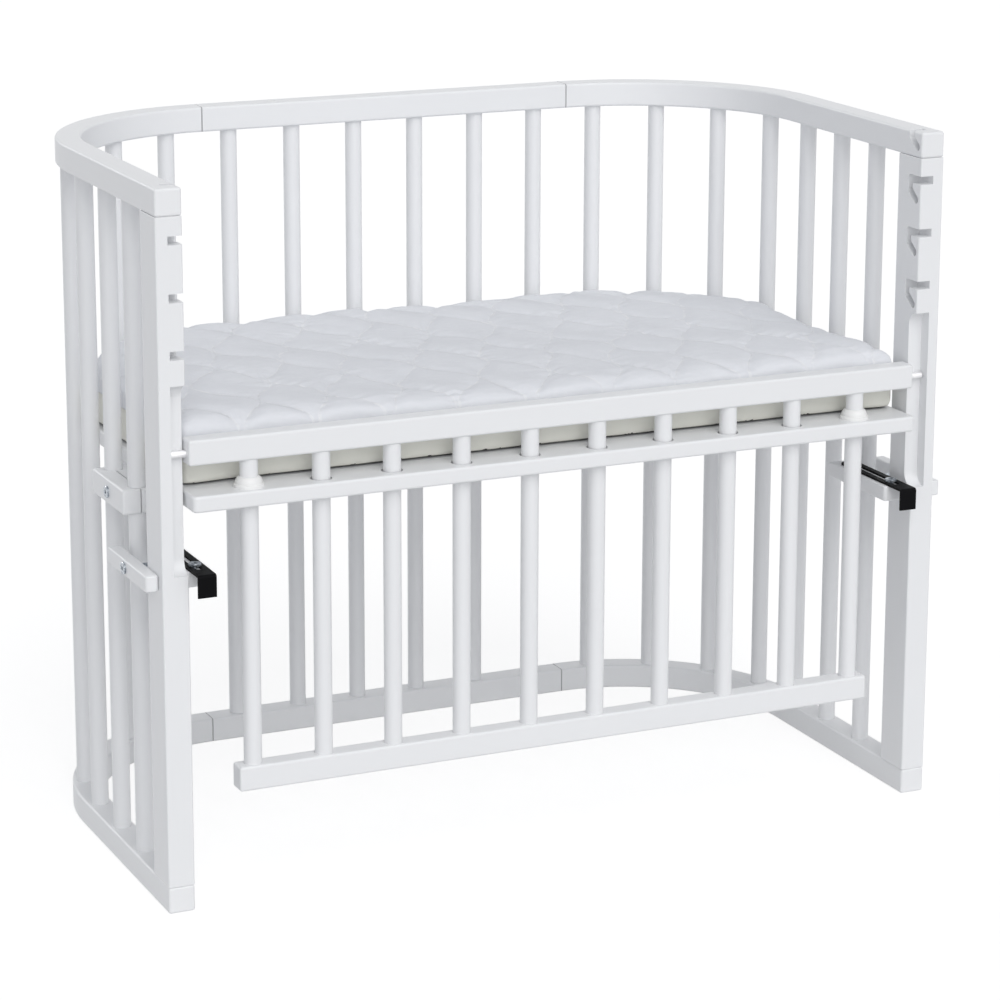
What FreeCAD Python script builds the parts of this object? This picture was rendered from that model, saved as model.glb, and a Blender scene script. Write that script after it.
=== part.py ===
"""A bedside sleeper crib: a U-shaped bar frame, open to the bed, with a height-adjustable base,
a mattress, a lift-up closure gate and two brackets that hook it to the bed.

Millimetres. X runs left to right as seen from the bed, Y from the bed to the back of the crib,
Z up. The origin is on the floor, at the middle of the crib's footprint.
"""
import FreeCAD, Part
import math
import os
import Sketcher

# ---------------------------------------------------------------------------------------------
# Driving dimensions
# ---------------------------------------------------------------------------------------------

SIZES = {
    # Frame: two bent rims, two front posts and the bars between the rims
    "width": 948,             # over the sides of the rims
    "depth": 540,             # from the front of the posts to the back of the rims
    "height": 795,            # floor to the top of the upper rim
    "rim_wide": 30,           # the rims' section, seen in plan, and the posts' width
    "rim_high": 30,           # the rims' section, upright
    "corner_radius": 234,     # outer radius of the two back corners
    "rim_round": 3,           # rounding of the rims' edges
    "post_deep": 49.5,        # front to back
    "post_round": 2,          # rounding of the posts' edges
    "bar_radius": 10,
    "bar_first": 123,         # from the front of the posts to the first bar on each side
    "bar_seat": 12,           # depth of the bars' glued ends in the rims
    "glue_gap": 0.1,          # between a glued end and its hole
    "dowel_radius": 4,        # hidden dowels that join the rims' pieces and the posts
    "dowel_long": 36,
    "dowel_spread": 16,       # between the two dowels of a joint
    "plug_radius": 5,         # two caps in the top of the back rim
    "plug_spread": 292,
    "plug_deep": 6,
    "plug_recess": 0.3,
    "joint_round": 0.8,       # rounding where two pieces meet, which leaves a fine line

    # Hooks for the raised gate, milled in the posts and in the ends of the upper rim
    "hook_deep": 16.5,        # into the inner face
    "hook_ease": 0.75,        # between the slot's walls and the pin
    "hook_pitch": 61,
    "hook_top": 17.4,         # from the top of the upper rim down to the uppermost pocket
    "hook_drop": 23,          # from the level mouth of a hook down to its pocket
    "hook_turn": 13,          # of that drop, straight down before the slot slants forward
    "hook_back": 22,          # from the front of the post to the upright run
    "hook_pocket": 9.5,       # from the front of the post to the pocket
    "rebate_low": 378,        # the lowered gate's pins run in a rebate of the post's inner corner
    "rebate_high": 585,
    "rebate_wide": 17,
    "rebate_ease": 0.5,       # between the rebate's back and the pin

    # Closure gate
    "gate_plane": 11,         # from the front of the posts to the middle of the gate
    "gate_thick": 24,
    "gate_rail_high": 28,
    "gate_side_gap": 2,       # between the upper rail's ends and the posts
    "gate_low_over": 19.25,   # how far the lower rail runs past the middle of the end bars
    "gate_top_under": 497,    # height of the upper rail's underside, gate lowered
    "gate_low_under": 127.5,  # height of the lower rail's underside, gate lowered
    "gate_bar_first": 70.75,  # from the end of the upper rail to the first bar
    "gate_seat": 14,          # depth of the bars' glued ends in the rails
    "gate_round": 3,
    "pin_radius": 4,
    "pin_end_gap": 1,         # between a pin's end and the floor of the hooks
    "pin_seat": 22,
    "pin_up": 12,             # above the rail's underside
    "stop_radius": 16.75,     # collar on each end bar, which rests on the base
    "stop_flange": 4,
    "stop_dome": 15,          # radius of the domed hub on the flange
    "stop_dome_round": 9,     # radius of the dome's profile
    "stop_neck": 1,           # the dome's wall where it meets the bar

    # Base board and mattress
    "base_top": 466,          # height of the board's upper face
    "base_thick": 18,
    "base_gap": 3,            # between the board and the posts and bars
    "base_out": 10.5,         # the ledge in front of the posts
    "base_corner": 6,
    "base_round": 3,
    "gate_hole_gap": 2,       # around the gate's bars in the board
    "vent_long": 110,
    "vent_wide": 12,
    "vent_side": 26,          # from the board's sides to the outermost slots' ends
    "vent_front": 150,        # from the front of the posts to the first row of slots
    "vent_back": 142,         # from the last row of slots to the back of the board
    "mattress_front": 29.5,   # from the front of the posts to the mattress
    "mattress_gap": 1.5,      # between the mattress and the posts
    "mattress_back_gap": 3,   # between the mattress and the bars behind it
    "mattress_high": 68,      # at the middle
    "mattress_crown": 5,      # how much lower the corners are
    "mattress_soft": 12,      # rounding of the top edge
    "mattress_low_soft": 4,   # rounding of the lower edge
    "mattress_draw": 3,       # how far the front draws in halfway along
    "quilt_deep": 3,          # depth of the sewn channels
    "quilt_pitch": 76.5,      # between channels
    "quilt_turn": 28.5,       # between the channels and the crib's depth, in degrees

    # Clamps that grip two bars each and carry the base
    "clamp_long": 108,
    "clamp_high": 28,
    "clamp_outer": 20,        # thickness of the block outside the bars
    "clamp_inner": 30,        # thickness of the block inside, which the board rests on
    "clamp_part": 1.5,        # gap between the two blocks
    "clamp_ease": 0.3,        # around the bars in their grooves
    "clamp_round": 3,

    # Carriers that grip the posts and hold the bed brackets
    "carrier_under": 361.5,   # height of the carriers' underside
    "carrier_high": 18,
    "carrier_front": 10,      # from the front of the posts
    "carrier_long": 132,
    "carrier_outer": 15,
    "carrier_inner": 29,
    "carrier_ease": 0.3,      # between a carrier and the post
    "carrier_end": 8,         # rounding of the rear ends, seen from the side
    "carrier_nose": 4,        # rounding of the front ends, seen from above
    "carrier_round": 2,

    # Bed brackets: slotted steel strips with a flange that turns down
    "bracket_wide": 20.8,
    "bracket_thick": 2.5,
    "bracket_long": 140,
    "bracket_reach": 18,      # how far the flange stands in front of the posts
    "bracket_flange": 25,
    "bracket_bend": 3.2,      # outer radius of the bend
    "bracket_inset": 3.7,     # from the post's inner face to the strip
    "bracket_slot": 7,
    "bracket_slot_long": 104,
    "bracket_slot_first": 24, # from the flange's face to the slot

    # Screws and inserts
    "screw_radius": 3,
    "screw_hole_gap": 0.4,
    "screw_head": 6.75,
    "screw_head_high": 2.4,
    "screw_socket": 2,        # half the width of the hexagon socket
    "clamp_screw_long": 46,
    "carrier_screw_long": 66,
    "insert_radius": 5,
    "insert_long": 13,
    "bracket_screw_head": 7,
    "bracket_screw_head_high": 3,
    "bracket_screw_long": 16,
    "bracket_screw_back": 22, # from the front of the posts
}

BARS = 20
GATE_BARS = 10
HOOKS = 3
VENTS_ACROSS = 5
VENTS_DEEP = 3
PUFFS = 15    # rows of quilting across the mattress, for each way the channels run

doc = FreeCAD.newDocument("bedside_sleeper")
sheet = doc.addObject("Spreadsheet::Sheet", "Sheet")
for row, (name, value) in enumerate(SIZES.items(), start=1):
    sheet.set(f"A{row}", name)
    sheet.set(f"B{row}", str(value))
    sheet.setAlias(f"B{row}", name)
doc.recompute()

# Places that follow from the sizes, as expressions over the sheet
CLAMP_OUTER_FACE = "(Sheet.clamp_part / 2 + Sheet.clamp_outer)"
CLAMP_INNER_FACE = "(Sheet.clamp_part / 2 + Sheet.clamp_inner)"
REAR_REACH = f"({CLAMP_OUTER_FACE} + Sheet.screw_head_high - Sheet.rim_wide / 2)"
FRONT = f"((Sheet.bracket_reach - Sheet.depth - {REAR_REACH}) / 2)"
BACK = f"({FRONT} + Sheet.depth)"
SIDE = "Sheet.width / 2"
POST_INNER = f"({SIDE} - Sheet.rim_wide)"
LINE_SIDE = f"({SIDE} - Sheet.rim_wide / 2)"
LINE_BACK = f"({BACK} - Sheet.rim_wide / 2)"
BEND_X = f"({SIDE} - Sheet.corner_radius)"
BEND_Y = f"({BACK} - Sheet.corner_radius)"
BEND_LINE = "(Sheet.corner_radius - Sheet.rim_wide / 2)"
BEND_INNER = "(Sheet.corner_radius - Sheet.rim_wide)"
POST_LONG = "(Sheet.height - 2 * Sheet.rim_high)"
UPPER_RIM = "(Sheet.height - Sheet.rim_high)"
GATE_Y = f"({FRONT} + Sheet.gate_plane)"
BASE_UNDER = "(Sheet.base_top - Sheet.base_thick)"
HALF_LINE = f"({BEND_X} + pi / 2 * {BEND_LINE} + {BEND_Y} - {FRONT})"
BAR_PITCH = f"(({HALF_LINE} - Sheet.bar_first) / {(BARS - 1) / 2})"
FIRST_BAR_Y = f"({FRONT} + Sheet.bar_first)"
CLAMP_Y = f"({FIRST_BAR_Y} + {BAR_PITCH} / 2)"
HOOK_HIGHEST = "(Sheet.height - Sheet.hook_top)"
CARRIER_SCREW_Y = f"(({FRONT} + Sheet.post_deep + {FIRST_BAR_Y} - Sheet.bar_radius) / 2)"
BRACKET_X = f"({POST_INNER} - Sheet.bracket_inset - Sheet.bracket_wide / 2)"


def amount(expression):
    """The value of an expression over the sheet, as a plain number."""
    result = sheet.evalExpression(str(expression))
    return float(getattr(result, "Value", result))


# ---------------------------------------------------------------------------------------------
# Sketches and features
# ---------------------------------------------------------------------------------------------

def new_body(name):
    body = doc.addObject("PartDesign::Body", name)
    body.Label = name
    return body


def place(thing, x="0", y="0", z="0", turn=0.0):
    """Stand a piece at x, y, z, turned about the upright through its own origin."""
    thing.Placement = FreeCAD.Placement(
        FreeCAD.Vector(amount(x), amount(y), amount(z)), FreeCAD.Rotation(FreeCAD.Vector(0, 0, 1), turn))
    for axis, expression in zip("xyz", (x, y, z)):
        thing.setExpression(f"Placement.Base.{axis}", str(expression))


def new_sketch(body, role, offset=None):
    """A sketch on one of the body's own planes, moved along its normal by offset."""
    sketch = body.newObject("Sketcher::SketchObject", f"{body.Name}_sketch")
    sketch.AttachmentSupport = [(next(f for f in body.Origin.OriginFeatures if f.Role == role), "")]
    sketch.MapMode = "FlatFace"
    if offset is not None:
        sketch.setExpression("AttachmentOffset.Base.z", str(offset))
    return sketch


def hold(sketch, edge, point, x, y):
    """Fix a point of an edge at x, y from the sketch's origin."""
    for kind, along in (("DistanceX", x), ("DistanceY", y)):
        index = sketch.addConstraint(Sketcher.Constraint(kind, -1, 1, edge, point, amount(along)))
        sketch.setExpression(f"Constraints[{index}]", str(along))


def set_radius(sketch, edge, radius):
    index = sketch.addConstraint(Sketcher.Constraint("Radius", edge, amount(radius)))
    sketch.setExpression(f"Constraints[{index}]", str(radius))


def circle(sketch, x, y, radius):
    centre = FreeCAD.Vector(amount(x), amount(y), 0)
    edge = sketch.addGeometry(Part.Circle(centre, FreeCAD.Vector(0, 0, 1), amount(radius)))
    hold(sketch, edge, 3, x, y)
    set_radius(sketch, edge, radius)


def outline(sketch, corners, bends=None):
    """A closed outline through the corners. bends gives, for a side that is an arc, the index of
    its first corner, and the arc's centre and radius. The arc is the one under a half circle."""
    bends = bends or {}
    points = [FreeCAD.Vector(amount(x), amount(y), 0) for x, y in corners]
    count = len(corners)
    ends = []
    for side in range(count):
        start, end = points[side], points[(side + 1) % count]
        if side in bends:
            centre_x, centre_y, radius = bends[side]
            centre = FreeCAD.Vector(amount(centre_x), amount(centre_y), 0)
            anticlockwise = (start - centre).cross(end - centre).z > 0
            first, last = (start, end) if anticlockwise else (end, start)
            angles = [math.atan2(p.y - centre.y, p.x - centre.x) for p in (first, last)]
            round_edge = Part.Circle(centre, FreeCAD.Vector(0, 0, 1), amount(radius))
            edge = sketch.addGeometry(Part.ArcOfCircle(round_edge, *angles))
            set_radius(sketch, edge, radius)
            ends.append((edge, 1, 2) if anticlockwise else (edge, 2, 1))
        else:
            edge = sketch.addGeometry(Part.LineSegment(start, end))
            ends.append((edge, 1, 2))
    for side in range(count):
        edge, start, _ = ends[side]
        before, _, end = ends[side - 1]
        sketch.addConstraint(Sketcher.Constraint("Coincident", before, end, edge, start))
        hold(sketch, edge, start, *corners[side])


def rectangle(sketch, low_x, low_y, high_x, high_y):
    outline(sketch, [(low_x, low_y), (high_x, low_y), (high_x, high_y), (low_x, high_y)])


def long_hole(sketch, start, end, radius):
    """The outline that a cutter of this radius leaves between two points."""
    a, b = (FreeCAD.Vector(amount(x), amount(y), 0) for x, y in (start, end))
    wide = amount(radius)
    way = math.atan2(b.y - a.y, b.x - a.x)
    across = FreeCAD.Vector(-math.sin(way), math.cos(way), 0) * wide
    up = FreeCAD.Vector(0, 0, 1)
    half = math.pi / 2
    one_side = sketch.addGeometry(Part.LineSegment(a - across, b - across))
    far_end = sketch.addGeometry(Part.ArcOfCircle(Part.Circle(b, up, wide), way - half, way + half))
    other_side = sketch.addGeometry(Part.LineSegment(b + across, a + across))
    near_end = sketch.addGeometry(
        Part.ArcOfCircle(Part.Circle(a, up, wide), way + half, way + 3 * half))
    around = [one_side, far_end, other_side, near_end]
    for before, after in zip(around, around[1:] + around[:1]):
        sketch.addConstraint(Sketcher.Constraint("Tangent", before, 2, after, 1))
    sketch.addConstraint(Sketcher.Constraint("Equal", far_end, near_end))
    hold(sketch, near_end, 3, *start)
    hold(sketch, far_end, 3, *end)
    set_radius(sketch, far_end, radius)


def pad(body, sketch, length):
    feature = body.newObject("PartDesign::Pad", f"{body.Name}_pad")
    feature.Profile = sketch
    feature.setExpression("Length", str(length))
    doc.recompute()
    return feature


def pocket(body, sketch, length, along_normal=False, both_ways=False):
    """Cut a sketch's outlines into the body, against the sketch's normal, along it or both."""
    feature = body.newObject("PartDesign::Pocket", f"{body.Name}_pocket")
    before = body.Shape.Volume
    feature.Profile = sketch
    feature.Reversed = along_normal
    feature.SideType = "Symmetric" if both_ways else "One side"
    feature.setExpression("Length", str(length))
    doc.recompute()
    if feature.Shape.isNull() or feature.Shape.Volume > before - 1e-3:
        raise RuntimeError(f"{body.Label}: a pocket cut nothing")
    return feature


def round_edges(body, radius, chosen=lambda edge: True):
    """Round the chosen edges of the body as it stands."""
    base = body.Tip
    names = [f"Edge{i}" for i, edge in enumerate(base.Shape.Edges, start=1) if chosen(edge)]
    feature = body.newObject("PartDesign::Fillet", f"{body.Name}_round")
    feature.Base = (base, names)
    feature.setExpression("Radius", str(radius))
    doc.recompute()
    return feature


def revolve(body, sketch, role="Z_Axis"):
    feature = body.newObject("PartDesign::Revolution", f"{body.Name}_turned")
    feature.Profile = sketch
    feature.ReferenceAxis = (next(f for f in body.Origin.OriginFeatures if f.Role == role), [""])
    feature.Angle = 360
    doc.recompute()
    return feature


def repeat(body, features, role, length, count):
    """Repeat features along an axis of the body, count times over the length."""
    pattern = body.newObject("PartDesign::LinearPattern", f"{body.Name}_repeat")
    pattern.Originals = features
    pattern.Direction = (next(f for f in body.Origin.OriginFeatures if f.Role == role), [""])
    pattern.setExpression("Length", str(length))
    pattern.Occurrences = count
    body.Tip = pattern
    doc.recompute()
    return pattern


def upright(edge):
    return len(edge.Vertexes) == 2 and abs(edge.tangentAt(edge.FirstParameter).z) > 0.999


nodes = []


def keep(thing, name):
    """Mark an object as a sub-part of the crib."""
    thing.Label = name
    nodes.append(thing)
    return thing


def group(name, pieces):
    """Separate solids that share one sub-part."""
    compound = doc.addObject("Part::Compound", name)
    compound.Links = pieces
    doc.recompute()
    return keep(compound, name)


def rod(name, radius, length, x="0", y="0", z="0", axis=(0, 0, 1)):
    cylinder = doc.addObject("Part::Cylinder", name)
    cylinder.setExpression("Radius", str(radius))
    cylinder.setExpression("Height", str(length))
    cylinder.Placement.Rotation = FreeCAD.Rotation(FreeCAD.Vector(0, 0, 1), FreeCAD.Vector(*axis))
    for along, expression in zip("xyz", (x, y, z)):
        cylinder.setExpression(f"Placement.Base.{along}", str(expression))
    return cylinder


def bar_line(index):
    """How far along the rims' middle line a bar stands from the crib's middle: index from 0."""
    return f"({index + 0.5} * {BAR_PITCH})"


def bar_place(index, side):
    """Where a bar stands: along the back, round the corner and forward along the side."""
    along = bar_line(index)
    turned = f"min(90; max(0; 180 / pi * ({along} - {BEND_X}) / {BEND_LINE}))"
    x = f"{side} * (min({along}; {BEND_X}) + {BEND_LINE} * sin({turned}))"
    past_bend = f"max(0; {along} - {BEND_X} - pi / 2 * {BEND_LINE})"
    y = f"({BEND_Y} + {BEND_LINE} * cos({turned}) - {past_bend})"
    return x, y


# ---------------------------------------------------------------------------------------------
# Rims
# ---------------------------------------------------------------------------------------------

JOINT_DOWEL_PLACES = [f"{way} * Sheet.dowel_spread / 2" for way in (-1, 1)]
POST_DOWEL_Y = f"({FRONT} + (Sheet.hook_back + Sheet.pin_radius + Sheet.hook_ease + Sheet.post_deep) / 2)"


def bar_holes(body, level, bars):
    """Blind holes for the bars' ends, in the lower rim's top or the upper rim's underside."""
    upper = level == "top"
    sketch = new_sketch(body, "XY_Plane", UPPER_RIM if upper else "Sheet.rim_high")
    for index, side in bars:
        circle(sketch, *bar_place(index, side), "Sheet.bar_radius + Sheet.glue_gap")
    pocket(body, sketch, "Sheet.bar_seat", along_normal=upper)


def joint_dowel_holes(body, level, side, into):
    """Holes for the two dowels of a rim joint; into is +1 or -1 along X."""
    sketch = new_sketch(body, "YZ_Plane", f"{side} * {BEND_X}")
    for place_y in JOINT_DOWEL_PLACES:
        circle(sketch, f"{LINE_BACK} + {place_y}", rim_middle(level), "Sheet.dowel_radius + Sheet.glue_gap")
    pocket(body, sketch, "Sheet.dowel_long / 2 + Sheet.glue_gap", along_normal=into > 0)


def rim_middle(level):
    return f"({UPPER_RIM} + Sheet.rim_high / 2)" if level == "top" else "Sheet.rim_high / 2"


def rim_sketch(body, level):
    return new_sketch(body, "XY_Plane", UPPER_RIM if level == "top" else None)


def post_dowel_hole(body, side, height, upward):
    sketch = new_sketch(body, "XY_Plane", height)
    circle(sketch, f"{side} * {LINE_SIDE}", POST_DOWEL_Y, "Sheet.dowel_radius + Sheet.glue_gap")
    pocket(body, sketch, "Sheet.dowel_long / 2 + Sheet.glue_gap", along_normal=upward)


def hook(body, side, height, from_above=False):
    """Mill one hook for a gate pin: in at the front, back, down and forward to its pocket. The
    uppermost hook is open at the top of the rim instead."""
    mouth = f"({height} + Sheet.hook_drop)"
    back = f"({FRONT} + Sheet.hook_back)"
    route = [
        (f"({FRONT} - 2 * Sheet.pin_radius)", mouth),
        (back, mouth),
        (back, f"({mouth} - Sheet.hook_turn)"),
        (f"({FRONT} + Sheet.hook_pocket)", height),
    ]
    cuts = []
    for start, end in list(zip(route, route[1:]))[1 if from_above else 0:]:
        sketch = new_sketch(body, "YZ_Plane", f"{side} * {POST_INNER}")
        long_hole(sketch, start, end, "Sheet.pin_radius + Sheet.hook_ease")
        cuts.append(pocket(body, sketch, "Sheet.hook_deep", along_normal=side > 0))
    return cuts


def make_back_rim(level):
    name = f"{level}_rim_back"
    body = new_body(name)
    sketch = rim_sketch(body, level)
    rectangle(sketch, f"-{BEND_X}", f"{BACK} - Sheet.rim_wide", BEND_X, BACK)
    pad(body, sketch, "Sheet.rim_high")
    end = amount(BEND_X)
    at_joint = lambda edge: abs(abs(edge.CenterOfMass.x) - end) < 1e-6
    round_edges(body, "Sheet.rim_round", lambda edge: not at_joint(edge))
    round_edges(body, "Sheet.joint_round", at_joint)
    reach = amount("Sheet.bar_radius")
    near = [i for i in range(BARS // 2) if amount(bar_line(i)) - reach < end]
    bar_holes(body, level, [(i, side) for i in near for side in (-1, 1)])
    joint_dowel_holes(body, level, -1, into=1)
    joint_dowel_holes(body, level, 1, into=-1)
    if level == "top":
        sketch = new_sketch(body, "XY_Plane", "Sheet.height")
        for side in (-1, 1):
            circle(sketch, f"{side} * Sheet.plug_spread / 2", LINE_BACK, "Sheet.plug_radius + Sheet.glue_gap")
        pocket(body, sketch, "Sheet.plug_deep")
    keep(body, name)


def make_side_rim(level, hand, side):
    """A piece bent from the back joint round the corner and straight to the front."""
    name = f"{level}_rim_{hand}"
    body = new_body(name)
    sketch = rim_sketch(body, level)
    corners = [
        (f"{side} * {BEND_X}", f"{BACK} - Sheet.rim_wide"),
        (f"{side} * {BEND_X}", BACK),
        (f"{side} * {SIDE}", BEND_Y),
        (f"{side} * {SIDE}", FRONT),
        (f"{side} * {POST_INNER}", FRONT),
        (f"{side} * {POST_INNER}", BEND_Y),
    ]
    bend_centre = (f"{side} * {BEND_X}", BEND_Y)
    outline(sketch, corners, {1: (*bend_centre, "Sheet.corner_radius"), 5: (*bend_centre, BEND_INNER)})
    pad(body, sketch, "Sheet.rim_high")
    joint = amount(BEND_X)
    at_joint = lambda edge: abs(abs(edge.CenterOfMass.x) - joint) < 1e-6 and edge.CenterOfMass.y > 0
    round_edges(body, "Sheet.rim_round", lambda edge: not at_joint(edge))
    round_edges(body, "Sheet.joint_round", at_joint)
    reach = amount("Sheet.bar_radius")
    far = [i for i in range(BARS // 2) if amount(bar_line(i)) + reach > joint]
    bar_holes(body, level, [(i, side) for i in far])
    joint_dowel_holes(body, level, side, into=side)
    if level == "top":
        post_dowel_hole(body, side, UPPER_RIM, upward=True)
        hook(body, side, HOOK_HIGHEST, from_above=True)
    else:
        post_dowel_hole(body, side, "Sheet.rim_high", upward=False)
    keep(body, name)


def make_posts():
    for hand, side in (("left", -1), ("right", 1)):
        name = f"post_{hand}"
        body = new_body(name)
        sketch = new_sketch(body, "XY_Plane", "Sheet.rim_high")
        inner, outer = sorted((f"{side} * {POST_INNER}", f"{side} * {SIDE}"), key=amount)
        rectangle(sketch, inner, FRONT, outer, f"{FRONT} + Sheet.post_deep")
        pad(body, sketch, POST_LONG)
        round_edges(body, "Sheet.post_round", upright)
        round_edges(body, "Sheet.joint_round", lambda edge: not upright(edge))
        lowest = f"({HOOK_HIGHEST} - {HOOKS} * Sheet.hook_pitch)"
        cuts = hook(body, side, lowest)
        repeat(body, cuts, "Z_Axis", f"{HOOKS - 1} * Sheet.hook_pitch", HOOKS)
        rebate(body, side)
        post_dowel_hole(body, side, "Sheet.rim_high", upward=True)
        post_dowel_hole(body, side, UPPER_RIM, upward=False)
        keep(body, name)


def rebate(body, side):
    """The inner front corner is milled away where the lowered gate's pins run."""
    deep = "(Sheet.gate_plane + Sheet.pin_radius + Sheet.rebate_ease)"
    sketch = new_sketch(body, "YZ_Plane", f"{side} * {POST_INNER}")
    corners = [
        (FRONT, "Sheet.rebate_low"),
        (f"{FRONT} + {deep}", f"Sheet.rebate_low + {deep}"),
        (f"{FRONT} + {deep}", f"Sheet.rebate_high - {deep}"),
        (FRONT, "Sheet.rebate_high"),
    ]
    outline(sketch, corners, {
        0: (FRONT, f"Sheet.rebate_low + {deep}", deep),
        2: (FRONT, f"Sheet.rebate_high - {deep}", deep),
    })
    pocket(body, sketch, "Sheet.rebate_wide", along_normal=side > 0)


def make_bars():
    """The upright bars, numbered from the left front round to the right front."""
    places = [(i, -1) for i in reversed(range(BARS // 2))] + [(i, 1) for i in range(BARS // 2)]
    seat = "(Sheet.bar_seat - Sheet.glue_gap)"
    for number, (index, side) in enumerate(places, start=1):
        name = f"bar_{number:02d}"
        keep(rod(name, "Sheet.bar_radius", f"{POST_LONG} + 2 * {seat}",
                 *bar_place(index, side), f"Sheet.rim_high - {seat}"), name)


def make_dowels_and_plugs():
    dowels = []
    for side in (-1, 1):
        for level in ("bottom", "top"):
            for number, place_y in enumerate(JOINT_DOWEL_PLACES, start=1):
                dowels.append(rod(f"dowel_{level}_{side}_{number}", "Sheet.dowel_radius", "Sheet.dowel_long",
                                  f"{side} * {BEND_X} - Sheet.dowel_long / 2", f"{LINE_BACK} + {place_y}",
                                  rim_middle(level), axis=(1, 0, 0)))
            joint = UPPER_RIM if level == "top" else "Sheet.rim_high"
            dowels.append(rod(f"post_dowel_{level}_{side}", "Sheet.dowel_radius", "Sheet.dowel_long",
                              f"{side} * {LINE_SIDE}", POST_DOWEL_Y, f"{joint} - Sheet.dowel_long / 2"))
    group("joint_dowels", dowels)
    group("plug_caps", [
        rod(f"plug_{side}", "Sheet.plug_radius", "Sheet.plug_deep - Sheet.plug_recess",
            f"{side} * Sheet.plug_spread / 2", LINE_BACK, "Sheet.height - Sheet.plug_deep")
        for side in (-1, 1)])


# ---------------------------------------------------------------------------------------------
# Closure gate, shown lowered
# ---------------------------------------------------------------------------------------------

GATE_TOP_HALF = f"({POST_INNER} - Sheet.gate_side_gap)"
GATE_LOW_HALF = f"({GATE_TOP_HALF} - Sheet.gate_bar_first + Sheet.gate_low_over)"
GATE_LOW_TOP = "(Sheet.gate_low_under + Sheet.gate_rail_high)"
PIN_HEIGHT = "(Sheet.gate_top_under + Sheet.pin_up)"


def gate_bar_x(index):
    return f"{2 * index / (GATE_BARS - 1) - 1} * ({GATE_TOP_HALF} - Sheet.gate_bar_first)"


def make_gate_rail(name, half_long, under, bars_above):
    body = new_body(name)
    sketch = new_sketch(body, "XY_Plane", under)
    rectangle(sketch, f"-{half_long}", f"{GATE_Y} - Sheet.gate_thick / 2",
              half_long, f"{GATE_Y} + Sheet.gate_thick / 2")
    pad(body, sketch, "Sheet.gate_rail_high")
    round_edges(body, "Sheet.gate_round")
    sketch = new_sketch(body, "XY_Plane", f"{under} + Sheet.gate_rail_high" if bars_above else under)
    for index in range(GATE_BARS):
        circle(sketch, gate_bar_x(index), GATE_Y, "Sheet.bar_radius + Sheet.glue_gap")
    pocket(body, sketch, "Sheet.gate_seat", along_normal=not bars_above)
    keep(body, name)
    return body


def make_gate():
    top = make_gate_rail("gate_top_rail", GATE_TOP_HALF, "Sheet.gate_top_under", bars_above=False)
    make_gate_rail("gate_bottom_rail", GATE_LOW_HALF, "Sheet.gate_low_under", bars_above=True)
    for side in (-1, 1):
        sketch = new_sketch(top, "YZ_Plane", f"{side} * {GATE_TOP_HALF}")
        circle(sketch, GATE_Y, PIN_HEIGHT, "Sheet.pin_radius + Sheet.glue_gap")
        pocket(top, sketch, "Sheet.pin_seat + Sheet.glue_gap", along_normal=side < 0)
    seat = "(Sheet.gate_seat - Sheet.glue_gap)"
    for index in range(GATE_BARS):
        name = f"gate_bar_{index + 1:02d}"
        keep(rod(name, "Sheet.bar_radius", f"Sheet.gate_top_under - {GATE_LOW_TOP} + 2 * {seat}",
                 gate_bar_x(index), GATE_Y, f"{GATE_LOW_TOP} - {seat}"), name)
    make_gate_pins()
    make_gate_stops()


def make_gate_pins():
    """A round-ended pin in each end of the upper rail; it drops into the hooks."""
    pins = []
    for side in (-1, 1):
        body = new_body(f"gate_pin_{'left' if side < 0 else 'right'}")
        sketch = new_sketch(body, "YZ_Plane", f"{side} * ({GATE_TOP_HALF} - Sheet.pin_seat)")
        circle(sketch, GATE_Y, PIN_HEIGHT, "Sheet.pin_radius")
        feature = pad(body, sketch, "Sheet.pin_seat + Sheet.gate_side_gap + Sheet.hook_deep - Sheet.pin_end_gap")
        feature.Reversed = side < 0
        doc.recompute()
        tip = max(abs(v.X) for v in body.Shape.Vertexes)
        round_edges(body, "Sheet.pin_radius / 4", lambda edge: abs(abs(edge.CenterOfMass.x) - tip) < 1e-6)
        pins.append(body)
    group("gate_pins", pins)


def make_gate_stops():
    """A flanged and domed collar on each end bar, which holds the lowered gate up on the base."""
    collars = []
    bore = "(Sheet.bar_radius + Sheet.glue_gap)"
    neck = "(Sheet.bar_radius + Sheet.stop_neck)"
    lip = "(Sheet.stop_flange / 2)"
    dome_middle = "(Sheet.stop_dome - Sheet.stop_dome_round)"
    top = f"(Sheet.stop_flange + sqrt(Sheet.stop_dome_round ^ 2 - ({neck} - {dome_middle}) ^ 2))"
    for index in (0, GATE_BARS - 1):
        body = new_body(f"gate_stop_{index + 1}")
        sketch = new_sketch(body, "XZ_Plane")
        corners = [
            (bore, "0"),
            ("Sheet.stop_radius", "0"),
            ("Sheet.stop_radius", f"Sheet.stop_flange - {lip}"),
            (f"Sheet.stop_radius - {lip}", "Sheet.stop_flange"),
            ("Sheet.stop_dome", "Sheet.stop_flange"),
            (neck, top),
            (bore, top),
        ]
        rounding = (f"Sheet.stop_radius - {lip}", f"Sheet.stop_flange - {lip}", lip)
        dome = (dome_middle, "Sheet.stop_flange", "Sheet.stop_dome_round")
        outline(sketch, corners, {2: rounding, 4: dome})
        revolve(body, sketch)
        place(body, gate_bar_x(index), GATE_Y, "Sheet.base_top")
        collars.append(body)
    group("gate_stops", collars)


# ---------------------------------------------------------------------------------------------
# Base board and mattress
# ---------------------------------------------------------------------------------------------

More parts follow.
